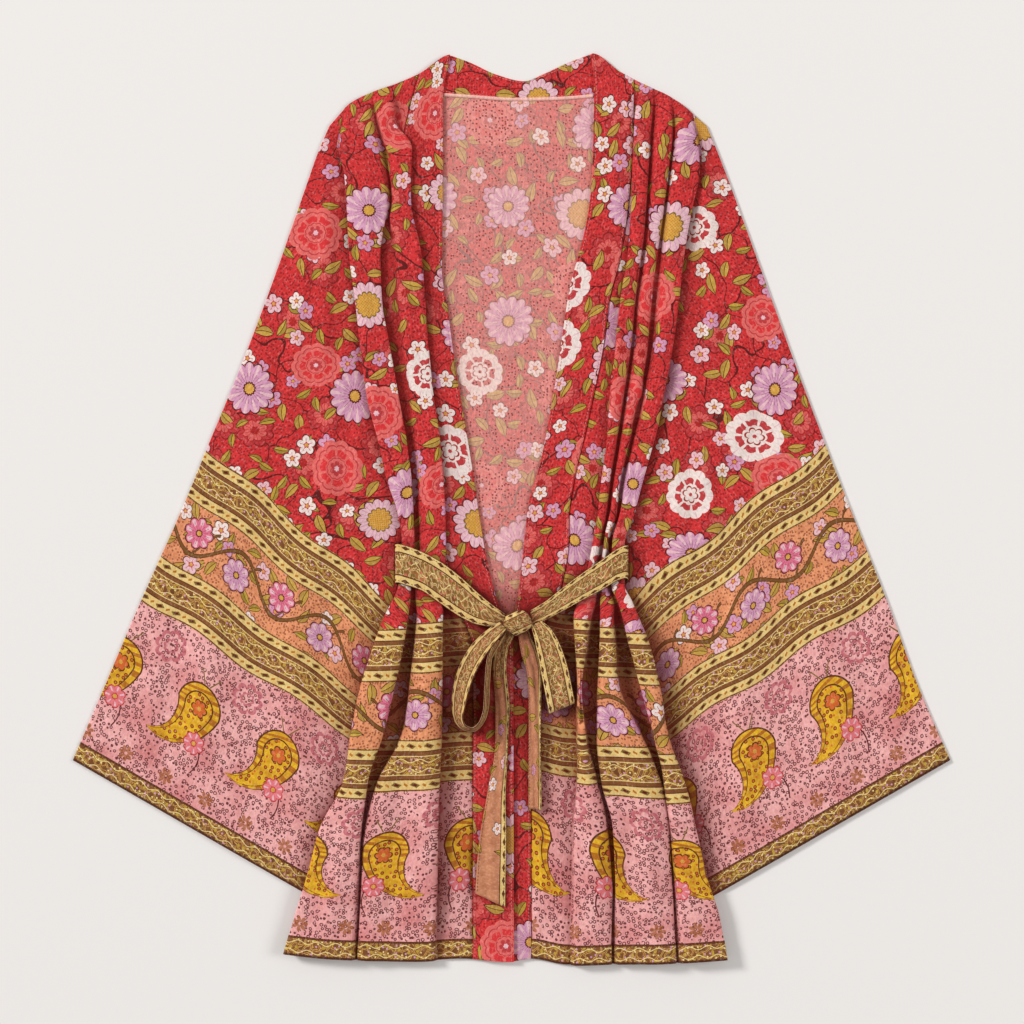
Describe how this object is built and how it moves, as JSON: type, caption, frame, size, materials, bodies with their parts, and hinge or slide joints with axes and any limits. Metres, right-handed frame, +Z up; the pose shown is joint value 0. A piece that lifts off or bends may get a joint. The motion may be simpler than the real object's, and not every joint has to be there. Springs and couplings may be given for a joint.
{
  "type": "kimono robe",
  "caption": "Short kimono robe with wide sleeves, an open front with long bands and a tie belt in a bow, laid flat on its back.",
  "frame": {"origin": "on the floor, under the middle of the laid robe's bounding box", "axes": "+Z up from the floor, +Y from the hem toward the neck, +X to the right seen from above with the neck up; the nodes' left and right are as seen in the picture"},
  "size_m": [0.8774, 0.9099, 0.0318],
  "materials": {
    "printed_cloth": "matt",
    "band_cloth": "matt",
    "wrong_side_cloth": "matt",
    "belt_cloth": "matt"
  },
  "bodies": {
    "root": {"back_panel": "wrong_side_cloth", "front_panel_left": "printed_cloth", "front_panel_right": "printed_cloth", "sleeve_left": "printed_cloth", "sleeve_right": "printed_cloth", "front_band_left": "band_cloth", "front_band_right": "band_cloth", "neck_band": "band_cloth", "belt_left": "belt_cloth", "belt_back": "belt_cloth", "belt_right": "belt_cloth", "knot": "belt_cloth", "bow_loop_left": "belt_cloth", "bow_loop_right": "belt_cloth", "tail_left": "belt_cloth", "tail_right": "belt_cloth"}
  },
  "joints": []
}
